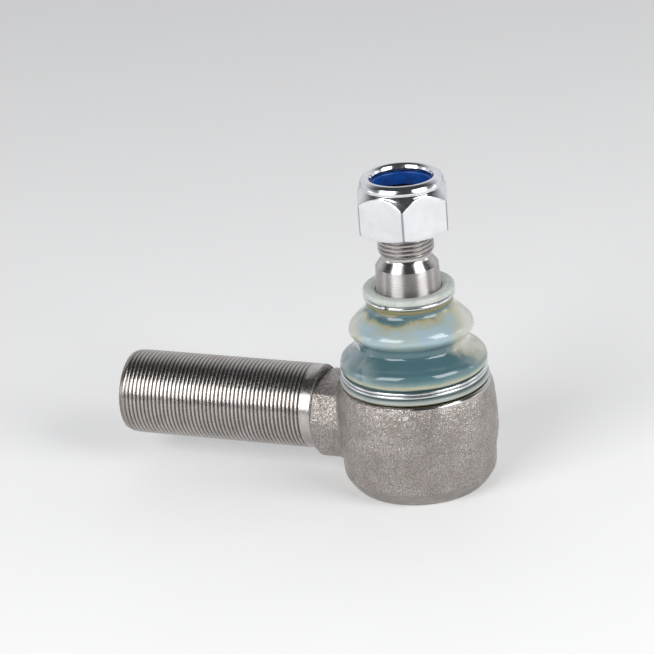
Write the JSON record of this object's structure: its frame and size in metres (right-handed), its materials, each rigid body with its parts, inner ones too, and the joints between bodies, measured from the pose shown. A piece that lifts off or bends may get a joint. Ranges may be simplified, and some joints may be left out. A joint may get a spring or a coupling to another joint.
{
  "type": "tie rod end",
  "caption": "Steering ball joint: threaded shank with forged housing, sealed ball stud with cone and thread, dust boot and self-locking nut.",
  "frame": {"origin": "centre of the end cover's flat outer face, on the stud's axis", "axes": "+Z along the upright ball stud towards the nut, -X along the shank towards its threaded end, +Y completes the frame"},
  "size_m": [0.1354, 0.0558, 0.1123],
  "materials": {
    "forging": "shot-blasted forging, shank thread bright machined",
    "turned_steel": "turned and ground",
    "spring_steel": "bright drawn wire and strip",
    "zinc": "bright zinc plating",
    "seat_plastic": "moulded acetal",
    "seal_rubber": "matt",
    "boot": "glossy translucent polyurethane over grease",
    "boot_collar": "milky translucent polyurethane",
    "blue_nylon": "satin nylon"
  },
  "bodies": {
    "housing": {"housing_shank": "forging", "upper_ball_seat": "seat_plastic", "end_cover": "turned_steel", "cover_seal_ring": "seal_rubber", "lower_clamp_ring": "spring_steel", "preload_spring": "spring_steel"},
    "lower_seat": {"lower_ball_seat": "seat_plastic"},
    "boot": {"dust_boot": "boot"},
    "collar": {"boot_collar": "boot_collar", "upper_clamp_ring": "spring_steel"},
    "stud": {"ball_stud": "turned_steel"},
    "insert": {"nut_insert": "blue_nylon"},
    "nut": {"lock_nut": "zinc"}
  },
  "joints": [
    {"name": "swing_direction", "type": "hinge", "parent": "housing", "child": "boot", "pos_m": [0, 0, 0.024], "axis": [0, 0, 1], "continuous": true},
    {"name": "stud_tilt", "type": "hinge", "parent": "boot", "child": "collar", "pos_m": [0, 0, 0.024], "axis": [0, 1, 0], "range_deg": [-20, 20], "deforming": ["dust_boot"]},
    {"name": "stud_spin", "type": "hinge", "parent": "collar", "child": "stud", "pos_m": [0, 0, 0.024], "axis": [0, 0, 1], "continuous": true},
    {"name": "nut_travel", "type": "slide", "parent": "stud", "child": "insert", "axis": [0, 0, 1], "range_m": [-0.0076, 0.0106]},
    {"name": "nut_turn", "type": "hinge", "parent": "insert", "child": "nut", "pos_m": [0, 0, 0.0928], "axis": [0, 0, 1], "range_deg": [-1800, 2520]},
    {"name": "seat_press", "type": "slide", "parent": "housing", "child": "lower_seat", "axis": [0, 0, 1], "range_m": [-0.0006, 0], "stiffness_N_per_m": 2000, "springref_m": 0.003, "deforming": ["preload_spring"]}
  ],
  "couplings": [
    {"joint": "nut_travel", "follows": "nut_turn", "m_per_rad": 0.00023873}
  ]
}
